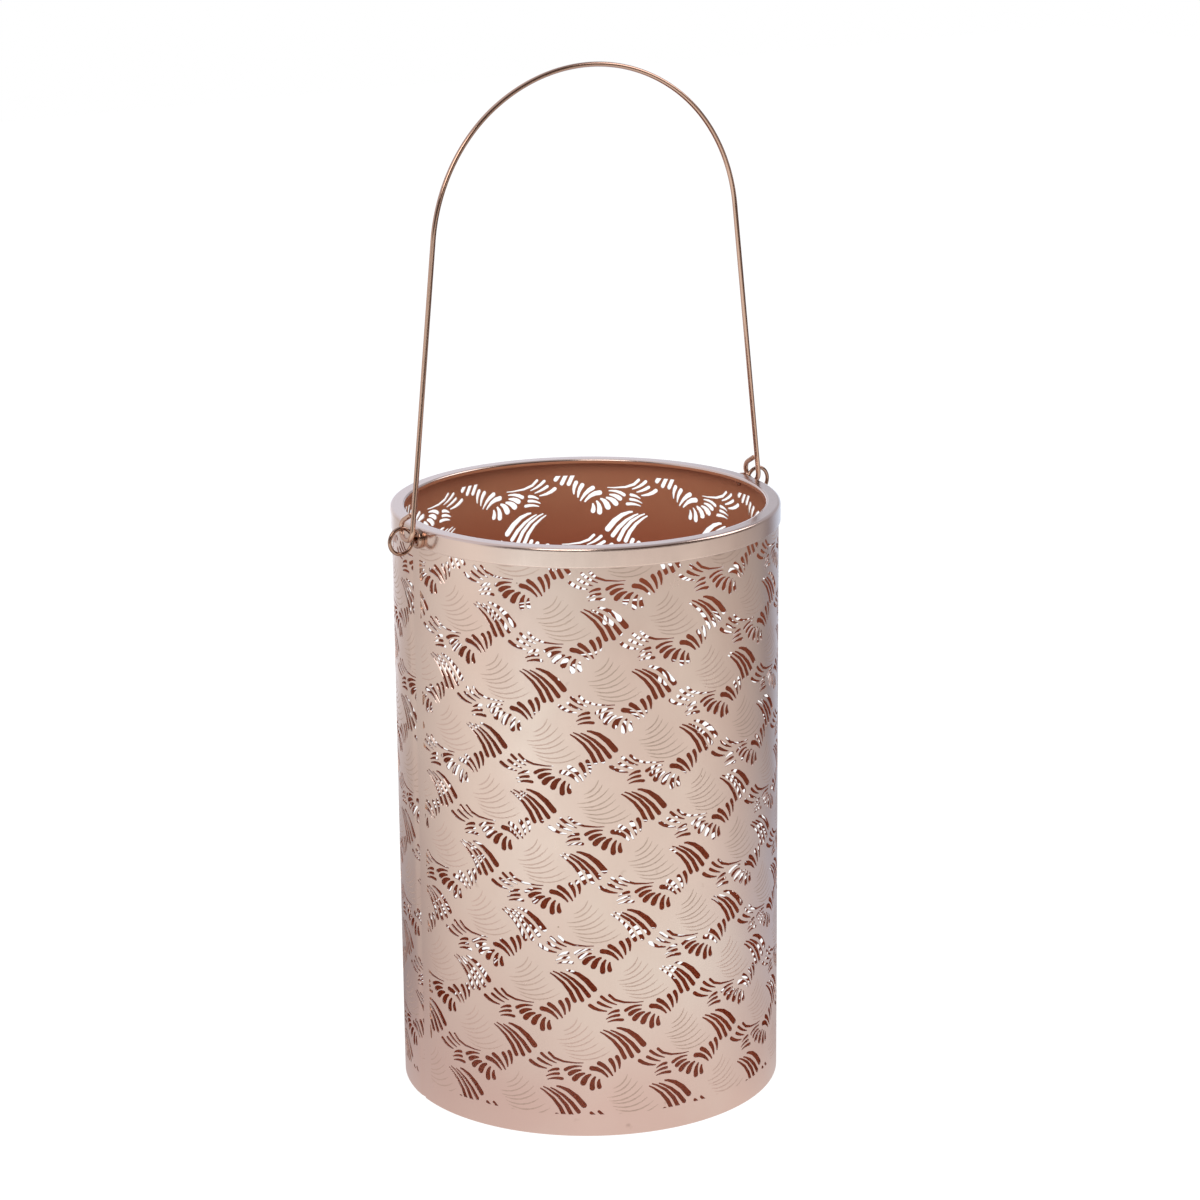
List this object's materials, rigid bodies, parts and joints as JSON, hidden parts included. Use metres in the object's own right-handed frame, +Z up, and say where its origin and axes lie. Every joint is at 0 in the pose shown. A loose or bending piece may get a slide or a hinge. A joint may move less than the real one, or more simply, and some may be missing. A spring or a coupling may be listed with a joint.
{
  "type": "candle lantern",
  "caption": "Open cylindrical candle lantern of pierced sheet metal with a flat formed rim, a closed base and an arched wire carrying handle that swings.",
  "frame": {"origin": "centre of the base, on the surface that the lantern stands on", "axes": "+Z up along the body's axis, X along the line through the two eye pins, which the handle swings about"},
  "size_m": [0.1906, 0.1616, 0.4294],
  "materials": {
    "sheet": "satin rose-copper plated sheet outside, darker matt copper inside",
    "rim": "satin rose-copper plated sheet",
    "pan": "matt copper plated sheet",
    "pins": "polished satin copper wire",
    "washers": "polished copper plated pressing",
    "handle": "polished satin copper wire"
  },
  "bodies": {
    "body": {"sleeve": "sheet", "rim_collar": "rim", "base_pan": "pan", "eye_pin_left": "pins", "eye_pin_right": "pins", "cup_washer_left": "washers", "cup_washer_right": "washers"},
    "handle": {"handle": "handle"}
  },
  "joints": [
    {"name": "handle_swing", "type": "hinge", "parent": "body", "child": "handle", "pos_m": [0, 0, 0.24937], "axis": [1, 0, 0], "range_deg": [-125, 115]}
  ]
}
